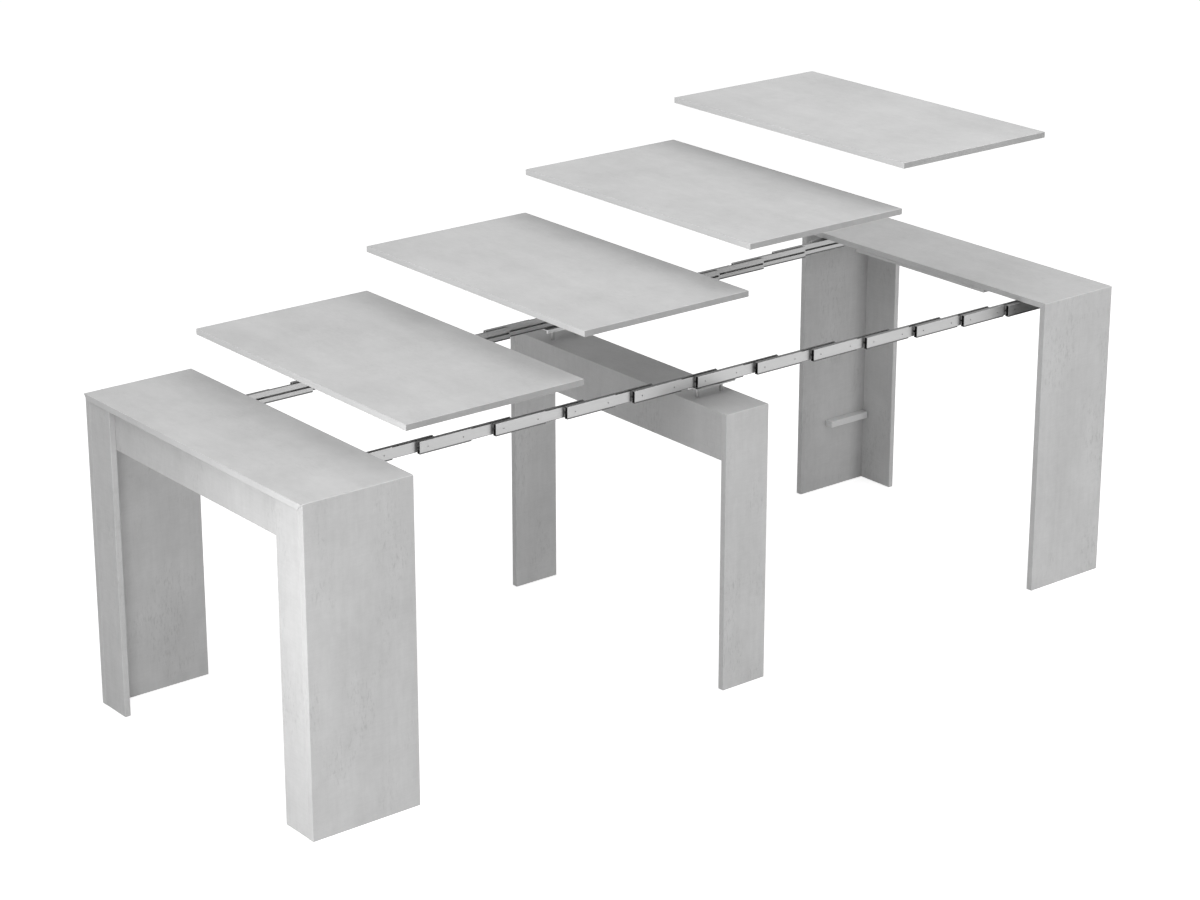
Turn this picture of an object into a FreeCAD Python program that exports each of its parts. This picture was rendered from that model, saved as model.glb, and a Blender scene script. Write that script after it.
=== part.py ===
import FreeCAD, Part
import os

from FreeCAD import Vector

# Extending console table, drawn pulled out to its full length with its four loose leaves lifted
# off the rails. Millimetres. +X runs from the near end to the far end, +Y to the left when
# looking along +X, and +Z up. The origin is on the floor, under the middle of the open table.

# Overall sizes
TABLE_WIDTH = 900.0
TABLE_HEIGHT = 775.0
NEAR_DEPTH = 285.0
FAR_DEPTH = 245.0

# Boards
TOP_THICK = 15.0
SIDE_THICK = 18.0
FACE_THICK = 15.0
EDGE_ROUND = 1.5
CORNER_ROUND = 2.5

# Loose leaves
LEAF_COUNT = 4
LEAF_LENGTH = 480.0
LEAF_SIDE_CLEARANCE = 9.0
LEAF_GAP = 1.5
FIRST_LIFT = 104.0
LIFT_STEP = 111.0

# Near frame
NEAR_OVERHANG = 4.0
NEAR_FACE_WIDTH = 106.0
NEAR_APRON_HEIGHT = 98.0

# Far frame
FAR_FACE_WIDTH = 132.0
BATTEN_HEIGHT = 8.0
BATTEN_DEPTH = 40.0
BATTEN_RAIL_CLEARANCE = 2.0
LEDGE_LENGTH = 137.0
LEDGE_WIDTH = 24.0
LEDGE_HEIGHT = 18.0
LEDGE_BOTTOM = 184.0
LEDGE_BACK_GAP = 4.0

# Middle frame
MIDDLE_DEPTH = 130.0
MIDDLE_SIDE_CLEARANCE = 16.0
MIDDLE_APRON_HEIGHT = 118.0
MIDDLE_LEAD = 8.0

# Brackets between the middle frame and its rail sections
BRACKET_HEIGHT = 32.0
BRACKET_SHEET = 3.0
BRACKET_REACH = 24.0
BRACKET_MARGIN = 6.0
BRACKET_LIP = 9.0
BRACKET_HOLE_RADIUS = 2.0
BRACKET_HOLE_INSET = 30.0
BRACKET_RAIL_GAP = 1.0
PAD_LENGTH = 46.0
PAD_INSET = 1.3
PAD_END_GAP = 10.0
POST_RADIUS = 4.0
POST_INSET = 22.0
POST_LIP_GAP = 1.0

# Telescopic rails: like sections that lie side by side. Each is pulled out a step further than the
# last, and the steps get shorter by the taper from one section to the next.
STAGE_COUNT = 11
RAIL_INSET = 80.0
RAIL_HEIGHT = 30.0
RAIL_WALL = 1.5
RAIL_PITCH = 11.0
RAIL_SIDE_GAP = 0.4
RAIL_TOP_GAP = 0.3
RAIL_CORNER_ROUND = 0.7
LIP_HEIGHT = 11.0
LIP_THICK = 1.4
RAIL_APRON_GAP = 26.0
RAIL_BACK_GAP = 12.5
STACK_BACK_GAP = 22.0
CLOSED_STAGGER = 1.0
STEP_TAPER = 6.0
LEAST_OVERLAP = 48.0
TONGUE_SHOWN = 36.0
TONGUE_NOTCH = 4.0
TONGUE_FLANGE = 4.0
TONGUE_CAP = 3.0
RAIL_HOLE_RADIUS = 1.5
RAIL_HOLE_INSET = 22.0

# Nylon glides on the tongues
GLIDE_LENGTH = 36.0
GLIDE_END_GAP = 1.0
GLIDE_CLEARANCE = 0.4

# Angles that hold the end sections under the two tops
MOUNT_LEG = 26.0
MOUNT_THICK = 3.0
MOUNT_END_GAP = 20.0
FAR_MOUNT_GAP = 70.0

# Frames and leaves, worked out from the sizes above
HALF_WIDTH = TABLE_WIDTH / 2
INNER_HALF_WIDTH = HALF_WIDTH - SIDE_THICK
UNDER_TOP = TABLE_HEIGHT - TOP_THICK
MITRE_FOOT = HALF_WIDTH - TOP_THICK
LEAF_PITCH = LEAF_LENGTH + LEAF_GAP
TRAVEL = LEAF_COUNT * LEAF_PITCH
FAR_FRONT = NEAR_DEPTH + LEAF_GAP + TRAVEL
LENGTH = FAR_FRONT + FAR_DEPTH
FAR_INNER_BACK = LENGTH - FACE_THICK
APRON_FRONT = NEAR_OVERHANG + FACE_THICK
APRON_REAR = APRON_FRONT + FACE_THICK
LEAF_HALF_WIDTH = INNER_HALF_WIDTH - LEAF_SIDE_CLEARANCE
MIDDLE_HALF_WIDTH = INNER_HALF_WIDTH - MIDDLE_SIDE_CLEARANCE

# Rails: pushed together, they still fit between the near apron and the far leg backs
RAIL_DEPTH = RAIL_PITCH - RAIL_SIDE_GAP
RAIL_TOP = UNDER_TOP - RAIL_TOP_GAP
RAIL_BOTTOM = RAIL_TOP - RAIL_HEIGHT
RAIL_MIDDLE = (RAIL_TOP + RAIL_BOTTOM) / 2
CHANNEL_FLOOR = RAIL_BOTTOM + RAIL_WALL
CHANNEL_ROOF = RAIL_TOP - RAIL_WALL
MEAN_STEP = TRAVEL / STAGE_COUNT + CLOSED_STAGGER
FIRST_STEP = MEAN_STEP + STEP_TAPER * (STAGE_COUNT - 1) / 2
SECTION_LENGTH = FIRST_STEP + LEAST_OVERLAP
CHANNEL_LENGTH = MEAN_STEP - TONGUE_SHOWN
STACK_LENGTH = SECTION_LENGTH + STAGE_COUNT * CLOSED_STAGGER
RAIL_START = FAR_INNER_BACK - TRAVEL - STACK_BACK_GAP - STACK_LENGTH
FIRST_RAIL_START = APRON_REAR + RAIL_APRON_GAP
LAST_RAIL_END = FAR_INNER_BACK - RAIL_BACK_GAP

# Middle frame, under the middle pair of sections
MIDDLE_STAGE = STAGE_COUNT // 2
MIDDLE_TAPER = STEP_TAPER * (MIDDLE_STAGE - 1) / 2
MIDDLE_SECTION_START = RAIL_START + MIDDLE_STAGE * (FIRST_STEP - MIDDLE_TAPER)
MIDDLE_TOP = RAIL_BOTTOM - BRACKET_HEIGHT
MIDDLE_START = MIDDLE_SECTION_START - MIDDLE_LEAD
MIDDLE_END = MIDDLE_START + MIDDLE_DEPTH

# Coordinates closer than this are the same
SAME = 1e-6


def along(distance):
    """X of a point at a distance from the near end of the open table."""
    return distance - LENGTH / 2


def section_start(stage):
    """Distance from the near end of the open table to the near end of a rail section."""
    return RAIL_START + stage * (FIRST_STEP - STEP_TAPER * (stage - 1) / 2)


def rail_face(stage):
    """Distance from the middle of the table to the outer face of a rail section."""
    return HALF_WIDTH - RAIL_INSET - RAIL_PITCH * (STAGE_COUNT - stage)


def block(lengthways, sideways, upright):
    """Plain box, given by its two limits along the table, across it and upwards."""
    start, end = lengthways
    inner, outer = sorted(sideways)
    bottom, top = upright
    corner = Vector(along(start), inner, bottom)
    return Part.makeBox(end - start, outer - inner, top - bottom, corner)


def board(lengthways, sideways, upright):
    """Box with eased edges, as an edge-banded board has."""
    shape = block(lengthways, sideways, upright)
    return shape.makeFillet(EDGE_ROUND, shape.Edges)


def lies_at(edge, place):
    """Whether both ends of an edge lie at a place, such as dict(x=1, z=2)."""
    ends = [vertex.Point for vertex in edge.Vertexes]
    offsets = [getattr(end, axis) - value for end in ends for axis, value in place.items()]
    return all(abs(offset) < SAME for offset in offsets)


def eased(shape, radius, places):
    """Shape with its edges at the given places rounded."""
    edges = [edge for edge in shape.Edges if any(lies_at(edge, place) for place in places)]
    return shape.makeFillet(radius, edges)


def mirrored(shape):
    """The same piece on the other side of the table."""
    return shape.mirror(Vector(0, 0, 0), Vector(0, 1, 0))


def save(name, *shapes):
    """Writes one piece, or one group of like pieces, to its own file."""
    whole = shapes[0] if len(shapes) == 1 else Part.makeCompound(list(shapes))
    whole.exportStep("parts/" + name + ".step")


def save_pair(pattern, left):
    """Writes a left piece, named by a pattern such as near_{}_side, and its mirror image."""
    save(pattern.format("left"), left)
    save(pattern.format("right"), mirrored(left))


def top_space(start, depth):
    """Space that a top fills between the mitres at its two ends."""
    x = along(start)
    corners = [
        Vector(x, -MITRE_FOOT, UNDER_TOP),
        Vector(x, MITRE_FOOT, UNDER_TOP),
        Vector(x, HALF_WIDTH, TABLE_HEIGHT),
        Vector(x, -HALF_WIDTH, TABLE_HEIGHT),
    ]
    outline = Part.makePolygon(corners + corners[:1])
    return Part.Face(outline).extrude(Vector(depth, 0, 0))


def mitred_top(start, depth):
    """Top whose two ends are mitred to the side panels below."""
    limits = (start, start + depth)
    shape = block(limits, (-HALF_WIDTH, HALF_WIDTH), (UNDER_TOP, TABLE_HEIGHT))
    arrises = [dict(y=side, z=TABLE_HEIGHT) for side in (-HALF_WIDTH, HALF_WIDTH)]
    shape = eased(shape, CORNER_ROUND, arrises).common(top_space(start, depth))
    levels = (UNDER_TOP, TABLE_HEIGHT)
    end_edges = [dict(x=along(end), z=level) for end in limits for level in levels]
    return eased(shape, EDGE_ROUND, end_edges)


def mitred_side(start, depth):
    """Left side panel of an end frame, mitred to the top above it."""
    limits = (start, start + depth)
    shape = block(limits, (INNER_HALF_WIDTH, HALF_WIDTH), (0.0, TABLE_HEIGHT))
    shape = eased(shape, CORNER_ROUND, [dict(y=HALF_WIDTH, z=TABLE_HEIGHT)])
    shape = shape.cut(top_space(start, depth))
    faces = (INNER_HALF_WIDTH, HALF_WIDTH)
    end_edges = [dict(x=along(end), y=face) for end in limits for face in faces]
    return eased(shape, EDGE_ROUND, end_edges)


def angle(lengthways, face, towards):
    """Angle that hangs a rail section: one leg on the section, one under the top."""
    upright = block(lengthways, (face, face + towards * MOUNT_THICK), (RAIL_BOTTOM, UNDER_TOP))
    level = (UNDER_TOP - MOUNT_THICK, UNDER_TOP)
    under = block(lengthways, (face, face + towards * MOUNT_LEG), level)
    return upright.fuse(under).removeSplitter()


def near_frame():
    save("near_top", mitred_top(0.0, NEAR_DEPTH))
    save_pair("near_{}_side", mitred_side(NEAR_OVERHANG, NEAR_DEPTH - NEAR_OVERHANG))
    face_sideways = (HALF_WIDTH - NEAR_FACE_WIDTH, INNER_HALF_WIDTH)
    save_pair("near_{}_front", board((NEAR_OVERHANG, APRON_FRONT), face_sideways, (0.0, UNDER_TOP)))
    across = (-INNER_HALF_WIDTH, INNER_HALF_WIDTH)
    apron_upright = (UNDER_TOP - NEAR_APRON_HEIGHT, UNDER_TOP)
    save("near_apron", board((APRON_FRONT, APRON_REAR), across, apron_upright))
    mount_limits = (FIRST_RAIL_START + MOUNT_END_GAP, NEAR_DEPTH - MOUNT_END_GAP)
    mount = angle(mount_limits, rail_face(0) - RAIL_DEPTH, -1)
    save("near_rail_mounts", mount, mirrored(mount))


def far_frame():
    save("far_top", mitred_top(FAR_FRONT, FAR_DEPTH))
    save_pair("far_{}_side", mitred_side(FAR_FRONT, FAR_DEPTH))
    back_sideways = (HALF_WIDTH - FAR_FACE_WIDTH, INNER_HALF_WIDTH)
    save_pair("far_{}_back", board((FAR_INNER_BACK, LENGTH), back_sideways, (0.0, UNDER_TOP)))
    batten_half = rail_face(0) - RAIL_DEPTH - BATTEN_RAIL_CLEARANCE
    batten_limits = (FAR_FRONT, FAR_FRONT + BATTEN_DEPTH)
    batten_upright = (UNDER_TOP - BATTEN_HEIGHT, UNDER_TOP)
    save("far_batten", board(batten_limits, (-batten_half, batten_half), batten_upright))
    ledge_end = FAR_INNER_BACK - LEDGE_BACK_GAP
    ledge_sideways = (INNER_HALF_WIDTH - LEDGE_WIDTH, INNER_HALF_WIDTH)
    ledge_upright = (LEDGE_BOTTOM, LEDGE_BOTTOM + LEDGE_HEIGHT)
    ledge = board((ledge_end - LEDGE_LENGTH, ledge_end), ledge_sideways, ledge_upright)
    save("far_leaf_ledges", ledge, mirrored(ledge))
    mount_limits = (FAR_FRONT + FAR_MOUNT_GAP, LAST_RAIL_END - MOUNT_END_GAP)
    mount = angle(mount_limits, rail_face(STAGE_COUNT), 1)
    save("far_rail_mounts", mount, mirrored(mount))


def middle_top_space():
    """Space that the middle frame's top fills, mitred on all four sides."""
    start = along(MIDDLE_START)
    end = along(MIDDLE_END)
    foot = MIDDLE_HALF_WIDTH - TOP_THICK
    lower = (start + TOP_THICK, MIDDLE_TOP - TOP_THICK, -foot, -MIDDLE_HALF_WIDTH, start)
    upper = (end - TOP_THICK, MIDDLE_TOP, foot, MIDDLE_HALF_WIDTH, end)
    lying = Part.makeWedge(*lower, *upper)
    lying.rotate(Vector(0, 0, 0), Vector(1, 0, 0), 90)
    return lying


def middle_frame():
    limits = (MIDDLE_START, MIDDLE_END)
    leg_inner = MIDDLE_HALF_WIDTH - SIDE_THICK
    between = (-leg_inner, leg_inner)
    height = (0.0, MIDDLE_TOP)
    apron_height = (MIDDLE_TOP - MIDDLE_APRON_HEIGHT, MIDDLE_TOP)
    top_fill = middle_top_space()
    whole = board(limits, (-MIDDLE_HALF_WIDTH, MIDDLE_HALF_WIDTH), height)
    save("middle_top", whole.common(top_fill))
    save_pair("middle_{}_leg", board(limits, (leg_inner, MIDDLE_HALF_WIDTH), height).cut(top_fill))
    front = board((MIDDLE_START, MIDDLE_START + FACE_THICK), between, apron_height)
    save("middle_front_apron", front.cut(top_fill))
    rear = board((MIDDLE_END - FACE_THICK, MIDDLE_END), between, apron_height)
    save("middle_rear_apron", rear.cut(top_fill))
    bracket = rail_bracket()
    save("middle_rail_brackets", bracket, mirrored(bracket))


def rail_bracket():
    """Left bracket: a plate with a lip on its inner edge, on two posts, and a pad for its rail."""
    outer = rail_face(MIDDLE_STAGE)
    inner = outer - RAIL_DEPTH
    lip_inner = inner - BRACKET_REACH
    lip_sideways = (lip_inner, lip_inner + BRACKET_SHEET)
    start = MIDDLE_START + BRACKET_MARGIN
    end = MIDDLE_END - BRACKET_MARGIN
    plate_top = RAIL_BOTTOM - BRACKET_RAIL_GAP
    plate_upright = (plate_top - BRACKET_SHEET, plate_top)
    plate = block((start, end), (lip_inner, outer), plate_upright)
    lip = block((start, end), lip_sideways, (plate_top - BRACKET_LIP, plate_top))
    pad_sideways = (inner + PAD_INSET, outer - PAD_INSET)
    pad_start = MIDDLE_SECTION_START + PAD_END_GAP
    pad_limits = (pad_start, pad_start + PAD_LENGTH)
    pad = block(pad_limits, pad_sideways, (plate_top, RAIL_BOTTOM))
    post_height = plate_top - BRACKET_SHEET - MIDDLE_TOP
    post_sideways = lip_sideways[1] + POST_LIP_GAP + POST_RADIUS
    posts = []
    for place in (start + POST_INSET, end - POST_INSET):
        foot = Vector(along(place), post_sideways, MIDDLE_TOP)
        posts.append(Part.makeCylinder(POST_RADIUS, post_height, foot))
    shape = plate.fuse([lip, pad] + posts).removeSplitter()
    hole_height = plate_top - (BRACKET_SHEET + BRACKET_LIP) / 2
    hole_start = Vector(along(end - BRACKET_HOLE_INSET), lip_inner, hole_height)
    hole = Part.makeCylinder(BRACKET_HOLE_RADIUS, BRACKET_SHEET, hole_start, Vector(0, 1, 0))
    return shape.cut(hole)


def leaves():
    across = (-LEAF_HALF_WIDTH, LEAF_HALF_WIDTH)
    for index in range(LEAF_COUNT):
        start = NEAR_DEPTH + LEAF_GAP + index * LEAF_PITCH
        bottom = UNDER_TOP + FIRST_LIFT + index * LIFT_STEP
        leaf = board((start, start + LEAF_LENGTH), across, (bottom, bottom + TOP_THICK))
        save("leaf_{}".format(index + 1), leaf)


def lipped_edge(lengthways, inner, flange):
    """Lower and upper edge of a rail on its open side: a lip with a flange behind it."""
    pieces = []
    for outer_level, wall_level, way in ((RAIL_BOTTOM, CHANNEL_FLOOR, 1), (RAIL_TOP, CHANNEL_ROOF, -1)):
        levels = sorted((outer_level, wall_level))
        lip_levels = sorted((outer_level, wall_level + way * LIP_HEIGHT))
        pieces.append(block(lengthways, (inner, inner + flange), levels))
        pieces.append(block(lengthways, (inner, inner + LIP_THICK), lip_levels))
    return pieces


def rail_section(stage):
    """Left rail section: a lipped channel with a flat web outside, then a tongue that keeps the lips."""
    outer = rail_face(stage)
    inner = outer - RAIL_DEPTH
    web_inner = outer - RAIL_WALL
    near_end = section_start(stage)
    last = stage == STAGE_COUNT
    channel_end = LAST_RAIL_END if last else near_end + CHANNEL_LENGTH
    channel = (FIRST_RAIL_START if stage == 0 else near_end, channel_end)
    shape = block(channel, (inner, outer), (RAIL_BOTTOM, RAIL_TOP))
    web_edges = [dict(y=outer, z=level) for level in (RAIL_BOTTOM, RAIL_TOP)]
    shape = eased(shape, RAIL_CORNER_ROUND, web_edges)
    shape = shape.cut(block(channel, (inner, web_inner), (CHANNEL_FLOOR, CHANNEL_ROOF)))
    additions = lipped_edge(channel, inner, RAIL_DEPTH / 2)
    if not last:
        section_end = near_end + SECTION_LENGTH
        tongue_limits = (channel_end, section_end)
        tongue_upright = (RAIL_BOTTOM + TONGUE_NOTCH, CHANNEL_ROOF)
        additions.append(block(tongue_limits, (web_inner, outer), tongue_upright))
        additions.append(block((section_end - TONGUE_CAP, section_end), (inner, outer), tongue_upright))
        additions += lipped_edge(tongue_limits, inner, TONGUE_FLANGE)
    shape = shape.fuse(additions).removeSplitter()
    for place in (near_end + RAIL_HOLE_INSET, channel_end - RAIL_HOLE_INSET):
        hole_start = Vector(along(place), web_inner, RAIL_MIDDLE)
        hole = Part.makeCylinder(RAIL_HOLE_RADIUS, RAIL_WALL, hole_start, Vector(0, 1, 0))
        shape = shape.cut(hole)
    return shape


def rail_glide(stage):
    """Left nylon glide: a neck between the next section's lips, and a plate behind them."""
    outer = rail_face(stage)
    end = section_start(stage) + SECTION_LENGTH - TONGUE_CAP - GLIDE_END_GAP
    limits = (end - GLIDE_LENGTH, end)
    plate_inner = outer + RAIL_SIDE_GAP + LIP_THICK + GLIDE_CLEARANCE
    plate_outer = outer + RAIL_PITCH - RAIL_WALL - GLIDE_CLEARANCE
    neck_clear = LIP_HEIGHT + GLIDE_CLEARANCE
    neck_upright = (CHANNEL_FLOOR + neck_clear, CHANNEL_ROOF - neck_clear)
    plate_upright = (CHANNEL_FLOOR + GLIDE_CLEARANCE, CHANNEL_ROOF - GLIDE_CLEARANCE)
    neck = block(limits, (outer, plate_inner), neck_upright)
    plate = block(limits, (plate_inner, plate_outer), plate_upright)
    return neck.fuse(plate).removeSplitter()


def rails():
    for stage in range(STAGE_COUNT + 1):
        save_pair("{}_rail_" + "{:02d}".format(stage), rail_section(stage))
    for stage in range(STAGE_COUNT):
        glide = rail_glide(stage)
        save("rail_glides_{:02d}".format(stage), glide, mirrored(glide))


os.makedirs("parts", exist_ok=True)
near_frame()
far_frame()
middle_frame()
leaves()
rails()
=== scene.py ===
import bpy
import math

from collections import namedtuple
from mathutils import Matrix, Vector

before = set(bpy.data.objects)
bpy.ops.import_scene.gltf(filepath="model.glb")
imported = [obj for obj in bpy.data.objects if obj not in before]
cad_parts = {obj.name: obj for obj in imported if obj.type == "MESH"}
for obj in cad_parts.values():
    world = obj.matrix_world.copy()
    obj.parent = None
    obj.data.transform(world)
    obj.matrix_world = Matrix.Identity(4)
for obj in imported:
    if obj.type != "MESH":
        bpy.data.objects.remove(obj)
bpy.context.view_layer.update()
scene = bpy.context.scene
scene.view_settings.view_transform = "Standard"

# Places on the table, in metres
RAIL_BOTTOM = 0.7297
# Limits of the painted shade on rails and brackets: below the rails' lower edge, below the bracket lip
# and beyond the lip's face
RAIL_LOWER_EDGE = RAIL_BOTTOM + 0.0035
BRACKET_LIP_BOTTOM = RAIL_BOTTOM - 0.0105
BRACKET_LIP_FACE = 0.2726
HALF_WIDTH = 0.45
LYING_NODES = ("near_top", "far_top", "middle_top", "far_batten")
AXES = "XYZ"

# Tones, as linear reflectance
BOARD_TONE = 0.6
PALE_TONE = 0.78
ALUMINIUM_TONE = 0.41
ZINC_TONE = 0.74
NYLON_TONE = 0.77

# Noise patterns: scales along and across the grain for a place in metres, then detail and roughness
Pattern = namedtuple("Pattern", "along across detail roughness")
CLOUDS = Pattern(5.0, 5.0, 8.0, 0.65)
BANDS = Pattern(1.6, 15.0, 3.0, 0.55)
MOTTLE = Pattern(28.0, 60.0, 5.0, 0.7)
STREAKS = Pattern(5.0, 110.0, 4.0, 0.65)
WEAVE = Pattern(220.0, 24.0, 3.0, 0.6)
FLECKS = Pattern(60.0, 200.0, 3.0, 0.6)
CLUSTERS = Pattern(6.0, 10.0, 3.0, 0.5)
PORES = Pattern(500.0, 900.0, 2.0, 0.7)
DRAWN_LINES = Pattern(6.0, 1400.0, 3.0, 0.6)
METAL_PATCHES = Pattern(9.0, 60.0, 3.0, 0.5)
NYLON_CLOUDS = Pattern(40.0, 40.0, 3.0, 0.5)
NYLON_GRAIN = Pattern(1500.0, 1500.0, 2.0, 0.5)
NOISE_MEAN = 0.5
SHEET_SPREAD = 9.7

# What each layer adds, as a share of the tone
CLOUD_SHARE = 0.34
BAND_SHARE = 0.14
MOTTLE_SHARE = 0.14
STREAK_SHARE = 0.1
WEAVE_SHARE = 0.1
FLECK_SHARE = -0.14
PORE_SHARE = 0.05
# Painted highlight on rounded corners
ARRIS_HIGHLIGHT_SHARE = 0.12
METAL_PATCH_SHARE = 0.1
NYLON_CLOUD_RISE = 0.06

# Where flecks, their clusters, the painted light and shade by the way a face looks, the painted
# highlight on rounded corners and the painted shade on upper faces begin and are full
FLECK_LIMITS = (0.5, 0.7)
CLUSTER_LIMITS = (0.46, 0.66)
FACING_LIGHT_LIMITS = (0.7, 0.95)
ARRIS_HIGHLIGHT_LIMITS = (0.04, 0.25)
UPPER_SHADE_LIMITS = (0.6, 0.95)

# Gloss and fine relief
BOARD_ROUGHNESS = 0.52
STREAK_ROUGHNESS = 0.16
BOARD_SPECULAR = 0.3
LINE_ROUGHNESS = 0.12
NYLON_ROUGHNESS = 0.35
GRAIN_ROUGHNESS = 0.15
STREAK_HEIGHT = 0.4
PORE_HEIGHT = 0.6
BOARD_RELIEF = {"Strength": 0.12, "Distance": 0.0004}
FINE_RELIEF = {"Strength": 0.1, "Distance": 0.0002}

# Surroundings: the floor's size and drop in metres, tones, and strengths of light
FLOOR_HALF = 40.0
FLOOR_DROP = 0.0005
FLOOR_TONE = 0.72
FLOOR_SEEN_TONE = 0.7
FLOOR_GLOW = 0.75
WORLD_LIGHT = 0.37
WHITE = 1.0

# Lamps: place and target, width and height in metres, power in watts
Softbox = namedtuple("Softbox", "place target width height power")
SOFTBOXES = {
    "front_overhead_softbox": Softbox((-2.1, -0.9, 4.0), (-0.9, 0.0, 0.7), 3.0, 3.0, 58.0),
    "rear_overhead_softbox": Softbox((2.1, -0.7, 4.0), (0.9, 0.0, 0.7), 3.0, 3.0, 52.0),
    "side_softbox": Softbox((-0.8, -5.5, 1.6), (0.0, 0.0, 0.5), 2.5, 1.5, 23.0),
    "far_side_softbox": Softbox((2.6, -5.0, 1.2), (1.0, 0.0, 0.5), 2.0, 1.0, 46.0),
    "front_strip": Softbox((-1.9, -0.58, 0.6), (-1.2, -0.5, 0.55), 0.3, 0.9, 4.2),
}

# Camera: place and clip in metres, angles in degrees, lens and sensor in millimetres
CAMERA_PLACE = (-4.344, -5.338, 3.022)
CAMERA_TURN = -38.62
CAMERA_LOOK_DOWN = 18.34
LENS_LENGTH = 90.0
LENS_SHIFT = -0.0833
SENSOR_WIDTH = 36.0
FAR_CLIP = 200.0


def add(tree, kind, inputs=None, **settings):
    """Adds a node. An input given as a socket is linked, and any other value is set on it."""
    node = tree.nodes.new(kind)
    for name, value in settings.items():
        setattr(node, name, value)
    for name, value in (inputs or {}).items():
        if isinstance(value, bpy.types.NodeSocket):
            tree.links.new(value, node.inputs[name])
        else:
            node.inputs[name].default_value = value
    return node


def reckon(tree, operation, *values):
    """Output of a math node on the given values."""
    inputs = dict(enumerate(values))
    return add(tree, "ShaderNodeMath", inputs, operation=operation).outputs[0]


def ramp(tree, value, low, high):
    """Value taken smoothly from 0 at low to 1 at high."""
    inputs = {"Value": value, "From Min": low, "From Max": high}
    return add(tree, "ShaderNodeMapRange", inputs, interpolation_type="SMOOTHSTEP").outputs[0]


def noise(tree, place, grain, pattern):
    """Noise in one of the patterns, drawn out along the grain's axis."""
    scales = tuple(pattern.along if axis == grain else pattern.across for axis in AXES)
    spot = add(tree, "ShaderNodeVectorMath", {0: place, 1: scales}, operation="MULTIPLY").outputs[0]
    inputs = {"Vector": spot, "Scale": 1.0, "Detail": pattern.detail, "Roughness": pattern.roughness}
    return add(tree, "ShaderNodeTexNoise", inputs).outputs["Fac"]


def new_material(name):
    material = bpy.data.materials.new(name)
    material.use_nodes = True
    tree = material.node_tree
    return material, tree, tree.nodes["Principled BSDF"]


def own_place(tree):
    """Object coordinates, moved to another spot of the sheet for each piece."""
    coordinates = add(tree, "ShaderNodeTexCoord").outputs["Object"]
    chance = add(tree, "ShaderNodeObjectInfo").outputs["Random"]
    shift = reckon(tree, "MULTIPLY", chance, SHEET_SPREAD)
    moved = add(tree, "ShaderNodeCombineXYZ", {"X": shift, "Y": shift, "Z": shift}).outputs[0]
    return add(tree, "ShaderNodeVectorMath", {0: coordinates, 1: moved}, operation="ADD").outputs[0]


def steepness(tree):
    """How far a face leans towards each axis, from 0 to 1."""
    normal = add(tree, "ShaderNodeNewGeometry").outputs["Normal"]
    parts = add(tree, "ShaderNodeSeparateXYZ", {"Vector": normal}).outputs
    return [reckon(tree, "ABSOLUTE", parts[axis]) for axis in AXES]


def add_layers(tree, value, tone, layers):
    """Value with each layer added by its share of the tone."""
    for layer, share in layers:
        value = reckon(tree, "MULTIPLY_ADD", layer, share * tone, value)
    return value


def patterned(tree, tone, layers):
    """Tone with layers of noise. The lightening layers keep its mean."""
    lightening = sum(share for layer, share in layers if share > 0.0)
    return add_layers(tree, (1.0 - NOISE_MEAN * lightening) * tone, tone, layers)


def dress(tree, shader, value, roughness, height, relief):
    """Gives a shader its grey, its roughness and its fine relief."""
    colour = add(tree, "ShaderNodeCombineColor", {"Red": value, "Green": value, "Blue": value})
    bump = add(tree, "ShaderNodeBump", {"Height": height, **relief})
    tree.links.new(colour.outputs["Color"], shader.inputs["Base Color"])
    tree.links.new(roughness, shader.inputs["Roughness"])
    tree.links.new(bump.outputs["Normal"], shader.inputs["Normal"])


def cement_board(name, grain, marks, front_band_and_painted_light, side_painted_light, tone=BOARD_TONE):
    """Matt cement print: clouds, mottling and clustered flecks along the grain; faces looking along X
    lighter, partly a light band and partly painted light; faces looking along Y darker by painted
    shade; and a painted highlight on rounded corners.
    """
    material, tree, shader = new_material(name)
    place = own_place(tree)
    leans = steepness(tree)
    streaks = noise(tree, place, grain, STREAKS)
    pores = noise(tree, place, grain, PORES)
    flecks = ramp(tree, noise(tree, place, grain, FLECKS), *FLECK_LIMITS)
    clusters = ramp(tree, noise(tree, place, grain, CLUSTERS), *CLUSTER_LIMITS)
    # Masks for painted light on faces looking along X and painted shade on faces looking along Y
    front = ramp(tree, leans[0], *FACING_LIGHT_LIMITS)
    side = ramp(tree, leans[1], *FACING_LIGHT_LIMITS)
    # Painted highlight on rounded corners, whose faces lean between the axes
    widest = reckon(tree, "MAXIMUM", leans[0], reckon(tree, "MAXIMUM", leans[1], leans[2]))
    arris_highlight = ramp(tree, reckon(tree, "SUBTRACT", 1.0, widest), *ARRIS_HIGHLIGHT_LIMITS)
    layers = [
        (noise(tree, place, grain, CLOUDS), CLOUD_SHARE),
        (noise(tree, place, grain, BANDS), BAND_SHARE),
        (noise(tree, place, grain, MOTTLE), MOTTLE_SHARE),
        (streaks, STREAK_SHARE * marks),
        (noise(tree, place, grain, WEAVE), WEAVE_SHARE * marks),
        (reckon(tree, "MULTIPLY", flecks, clusters), FLECK_SHARE * marks),
        (pores, PORE_SHARE),
    ]
    # Painted light, painted shade and painted highlight, by the way each face looks
    facing_light_and_highlight = [(front, front_band_and_painted_light), (side, side_painted_light), (arris_highlight, ARRIS_HIGHLIGHT_SHARE)]
    value = add_layers(tree, patterned(tree, tone, layers), tone, facing_light_and_highlight)
    roughness = reckon(tree, "MULTIPLY_ADD", streaks, STREAK_ROUGHNESS, BOARD_ROUGHNESS)
    pore_height = reckon(tree, "MULTIPLY", pores, PORE_HEIGHT)
    height = reckon(tree, "MULTIPLY_ADD", streaks, STREAK_HEIGHT, pore_height)
    dress(tree, shader, value, roughness, height, BOARD_RELIEF)
    shader.inputs["Specular IOR Level"].default_value = BOARD_SPECULAR
    return material


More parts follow.
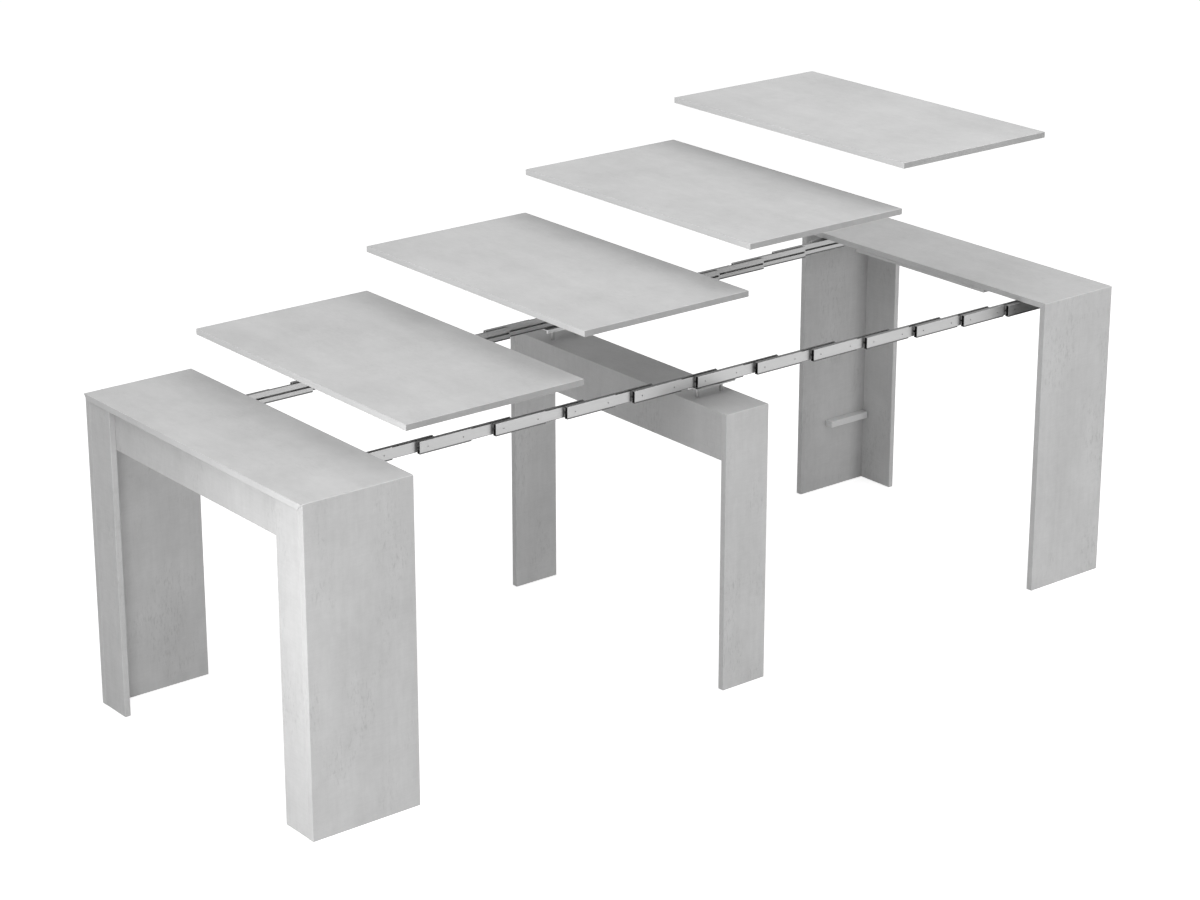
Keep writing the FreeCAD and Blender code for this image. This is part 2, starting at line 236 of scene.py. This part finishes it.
def drawn_metal(name, tone, roughness, streak, painted_shade_below, painted_shade_beyond, upper_shade, part_shade):
    """Metal with fine lines along the way it was drawn, and painted shade on upper faces, below one
    height and beyond one distance from the middle.
    """
    material, tree, shader = new_material(name)
    place = own_place(tree)
    lines = noise(tree, place, "X", DRAWN_LINES)
    patches = noise(tree, place, "X", METAL_PATCHES)
    coordinates = add(tree, "ShaderNodeTexCoord").outputs["Object"]
    spot = add(tree, "ShaderNodeSeparateXYZ", {"Vector": coordinates}).outputs
    # Painted shade below one height and beyond one distance from the middle
    lower_part = reckon(tree, "LESS_THAN", spot["Z"], painted_shade_below)
    outer_part = reckon(tree, "GREATER_THAN", reckon(tree, "ABSOLUTE", spot["Y"]), painted_shade_beyond)
    shaded_part = reckon(tree, "MAXIMUM", lower_part, outer_part)
    # Painted shade on faces looking up
    upper_face = ramp(tree, steepness(tree)[2], *UPPER_SHADE_LIMITS)
    upper_painted_shade = reckon(tree, "MULTIPLY", upper_face, upper_shade)
    dark = reckon(tree, "MAXIMUM", upper_painted_shade, reckon(tree, "MULTIPLY", shaded_part, part_shade))
    value = patterned(tree, tone, [(lines, streak), (patches, METAL_PATCH_SHARE)])
    value = reckon(tree, "MULTIPLY", value, reckon(tree, "SUBTRACT", 1.0, dark))
    smoothest = roughness - NOISE_MEAN * LINE_ROUGHNESS
    rough = reckon(tree, "MULTIPLY_ADD", lines, LINE_ROUGHNESS, smoothest)
    dress(tree, shader, value, rough, lines, FINE_RELIEF)
    shader.inputs["Metallic"].default_value = 1.0
    return material


def moulded_nylon(name):
    """Off-white plastic with a faint moulded grain."""
    material, tree, shader = new_material(name)
    place = own_place(tree)
    clouds = noise(tree, place, "X", NYLON_CLOUDS)
    grain = noise(tree, place, "X", NYLON_GRAIN)
    value = reckon(tree, "MULTIPLY_ADD", clouds, NYLON_CLOUD_RISE, NYLON_TONE)
    rough = reckon(tree, "MULTIPLY_ADD", grain, GRAIN_ROUGHNESS, NYLON_ROUGHNESS)
    dress(tree, shader, value, rough, grain, FINE_RELIEF)
    return material


# Shares by the way a face looks: positive is painted light, negative is painted shade; on the leaves
# the light along X is partly a light band
LEAF = cement_board("cement_leaf", "Y", marks=0.4, front_band_and_painted_light=0.5, side_painted_light=-0.28)
LYING = cement_board("cement_lying", "Y", marks=0.4, front_band_and_painted_light=0.1, side_painted_light=-0.1)
UPRIGHT = cement_board("cement_upright", "Z", marks=1.0, front_band_and_painted_light=0.04, side_painted_light=0.0)
PALE = cement_board("pale_ledge", "X", marks=0.4, front_band_and_painted_light=0.0, side_painted_light=0.0, tone=PALE_TONE)
# Rails: painted shade on upper faces and a painted shade line along the bottom
ALUMINIUM = drawn_metal(
    "drawn_aluminium", ALUMINIUM_TONE, roughness=0.36, streak=0.22,
    painted_shade_below=RAIL_LOWER_EDGE, painted_shade_beyond=HALF_WIDTH, upper_shade=0.62, part_shade=0.72,
)
# Brackets: painted shade on upper faces, on the posts below the lip and on the parts beyond the lip's
# face
ZINC = drawn_metal(
    "zinc_steel", ZINC_TONE, roughness=0.42, streak=0.1,
    painted_shade_below=BRACKET_LIP_BOTTOM, painted_shade_beyond=BRACKET_LIP_FACE, upper_shade=0.35, part_shade=0.5,
)
NYLON = moulded_nylon("moulded_nylon")


def material_for(node):
    if node == "far_leaf_ledges":
        return PALE
    if node in LYING_NODES:
        return LYING
    if node.startswith("leaf_"):
        return LEAF
    if node.startswith("rail_glides"):
        return NYLON
    if node.endswith(("mounts", "brackets")):
        return ZINC
    return ALUMINIUM if "_rail_" in node else UPRIGHT


for node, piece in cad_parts.items():
    piece.data.materials.clear()
    piece.data.materials.append(material_for(node))


def grey(tone):
    return (tone, tone, tone, 1.0)


def only_seen(tree):
    """1 for rays that see the surroundings straight on, in gloss or through glass, else 0."""
    path = add(tree, "ShaderNodeLightPath").outputs
    gloss = reckon(tree, "MAXIMUM", path["Is Glossy Ray"], path["Is Transmission Ray"])
    return reckon(tree, "MAXIMUM", path["Is Camera Ray"], gloss)


def make_floor():
    """Pale floor that looks white where it is lit and keeps a soft shadow."""
    signs = [(-1.0, -1.0), (1.0, -1.0), (1.0, 1.0), (-1.0, 1.0)]
    corners = [(x * FLOOR_HALF, y * FLOOR_HALF, 0.0) for x, y in signs]
    mesh = bpy.data.meshes.new("floor")
    mesh.from_pydata(corners, [], [(0, 1, 2, 3)])
    floor = bpy.data.objects.new("floor", mesh)
    floor.location.z = -FLOOR_DROP
    scene.collection.objects.link(floor)
    material, tree, shader = new_material("floor_paper")
    tree.nodes.remove(shader)
    matt = add(tree, "ShaderNodeBsdfDiffuse", {"Color": grey(FLOOR_TONE)})
    faint = add(tree, "ShaderNodeBsdfDiffuse", {"Color": grey(FLOOR_SEEN_TONE)})
    glow = add(tree, "ShaderNodeEmission", {"Strength": FLOOR_GLOW})
    seen = add(tree, "ShaderNodeAddShader", {0: faint.outputs[0], 1: glow.outputs[0]})
    shades = {0: only_seen(tree), 1: matt.outputs[0], 2: seen.outputs[0]}
    paper = add(tree, "ShaderNodeMixShader", shades)
    tree.links.new(paper.outputs[0], tree.nodes["Material Output"].inputs["Surface"])
    mesh.materials.append(material)


def make_world():
    """White to look at, and a dimmer grey as a light on the object."""
    world = bpy.data.worlds.new("studio")
    scene.world = world
    world.use_nodes = True
    tree = world.node_tree
    light = tree.nodes["Background"]
    light.inputs["Color"].default_value = grey(WHITE)
    light.inputs["Strength"].default_value = WORLD_LIGHT
    white = add(tree, "ShaderNodeBackground", {"Color": grey(WHITE), "Strength": WHITE})
    shades = {0: only_seen(tree), 1: light.outputs[0], 2: white.outputs[0]}
    both = add(tree, "ShaderNodeMixShader", shades)
    tree.links.new(both.outputs[0], tree.nodes["World Output"].inputs["Surface"])


def hang_softbox(name, softbox):
    """Soft rectangular lamp, aimed at its target and out of the camera's sight."""
    lamp = bpy.data.lights.new(name, "AREA")
    lamp.shape = "RECTANGLE"
    lamp.size = softbox.width
    lamp.size_y = softbox.height
    lamp.energy = softbox.power
    box = bpy.data.objects.new(name, lamp)
    aim = Vector(softbox.target) - Vector(softbox.place)
    box.location = softbox.place
    box.rotation_euler = aim.to_track_quat("-Z", "Y").to_euler()
    box.visible_camera = False
    scene.collection.objects.link(box)


def make_camera():
    """Long lens at the photograph's angle, shifted a little to frame the table."""
    lens = bpy.data.cameras.new("photo_camera")
    lens.sensor_width = SENSOR_WIDTH
    lens.lens = LENS_LENGTH
    lens.shift_y = LENS_SHIFT
    lens.clip_end = FAR_CLIP
    camera = bpy.data.objects.new("photo_camera", lens)
    camera.location = CAMERA_PLACE
    camera.rotation_euler = (math.radians(90.0 - CAMERA_LOOK_DOWN), 0.0, math.radians(CAMERA_TURN))
    scene.collection.objects.link(camera)
    scene.camera = camera


make_floor()
make_world()
for name, softbox in SOFTBOXES.items():
    hang_softbox(name, softbox)
make_camera()
